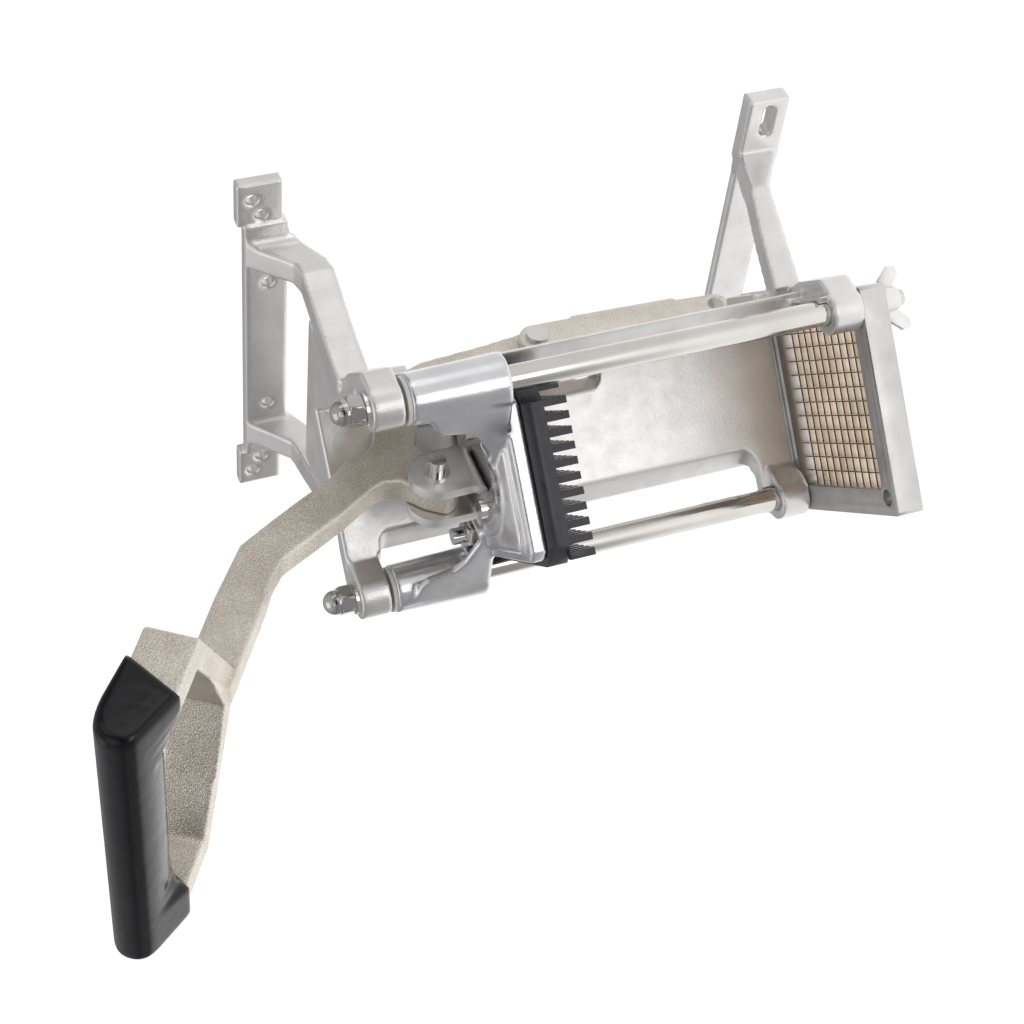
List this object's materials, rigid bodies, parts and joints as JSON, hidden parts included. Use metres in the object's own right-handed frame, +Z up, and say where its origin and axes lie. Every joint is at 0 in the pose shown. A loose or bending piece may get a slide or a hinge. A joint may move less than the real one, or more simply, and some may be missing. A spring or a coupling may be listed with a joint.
{
  "type": "vegetable dicer",
  "caption": "Wall-mounted hand dicer: a V chute with a square blade grid, and a finger block driven down two guide rods by a swing lever with a dipped loop handle.",
  "frame": {"origin": "centre of the blade frame's upper face, on the chute's centre line", "axes": "+X right, +Y towards the wall, +Z up along the guide rods; the blade grid lies at 45 degrees to X and Y"},
  "size_m": [0.198, 0.2749, 0.4207],
  "materials": {
    "cast_aluminium": "satin blasted casting",
    "polished_aluminium": "tumbled bright casting",
    "stainless": "polished",
    "blade_steel": "ground",
    "sand_cast": "warm nickel-toned grainy casting",
    "vinyl": "glossy dipped vinyl",
    "block_plastic": "moulded",
    "clevis_steel": "satin",
    "bush": "turned",
    "bronze": "sintered"
  },
  "bodies": {
    "frame": {"trough": "cast_aluminium", "upper_wall_bracket": "cast_aluminium", "lower_wall_bracket": "cast_aluminium", "bracket_screws": "stainless", "guide_rod_left": "stainless", "guide_rod_right": "stainless", "rod_washers": "stainless", "acorn_nuts": "stainless", "blade_frame": "cast_aluminium", "blades_across": "blade_steel", "blades_down": "blade_steel", "blade_keepers": "blade_steel", "keeper_screws": "stainless", "link_anchor_pin": "stainless"},
    "pusher": {"pusher_head": "polished_aluminium", "sleeve_bushes": "bush", "pusher_block": "block_plastic", "block_studs": "stainless", "block_nuts": "stainless", "clevis": "clevis_steel", "clevis_screws": "stainless", "clevis_pin": "stainless", "clevis_pin_clip": "stainless"},
    "handle": {"lever": "sand_cast", "lever_bushes": "bronze", "grip": "vinyl"},
    "swing_link": {"swing_link_left": "sand_cast", "swing_link_right": "sand_cast", "link_pin": "stainless", "link_pin_ends": "stainless"},
    "wing_left": {"wing_nut_left": "stainless"},
    "wing_right": {"wing_nut_right": "stainless"}
  },
  "joints": [
    {"name": "pusher_slide", "type": "slide", "parent": "frame", "child": "pusher", "axis": [0, 0, -1], "range_m": [0, 0.154]},
    {"name": "handle_swing", "type": "hinge", "parent": "pusher", "child": "handle", "pos_m": [0, 0.001, 0.203], "axis": [1, 0, 0], "range_deg": [0, 94.7]},
    {"name": "link_swing", "type": "hinge", "parent": "handle", "child": "swing_link", "pos_m": [0, 0.0715, 0.1255], "axis": [1, 0, 0], "range_deg": [-95.4, 0]},
    {"name": "wing_left_turn", "type": "hinge", "parent": "frame", "child": "wing_left", "pos_m": [-0.0646, 0, -0.018], "axis": [0, 0, 1], "continuous": true},
    {"name": "wing_right_turn", "type": "hinge", "parent": "frame", "child": "wing_right", "pos_m": [0.0646, 0, -0.018], "axis": [0, 0, 1], "continuous": true}
  ],
  "couplings": [
    {"joint": "handle_swing", "follows": "pusher_slide", "rad_per_m": 10.72},
    {"joint": "link_swing", "follows": "pusher_slide", "rad_per_m": -10.796}
  ]
}
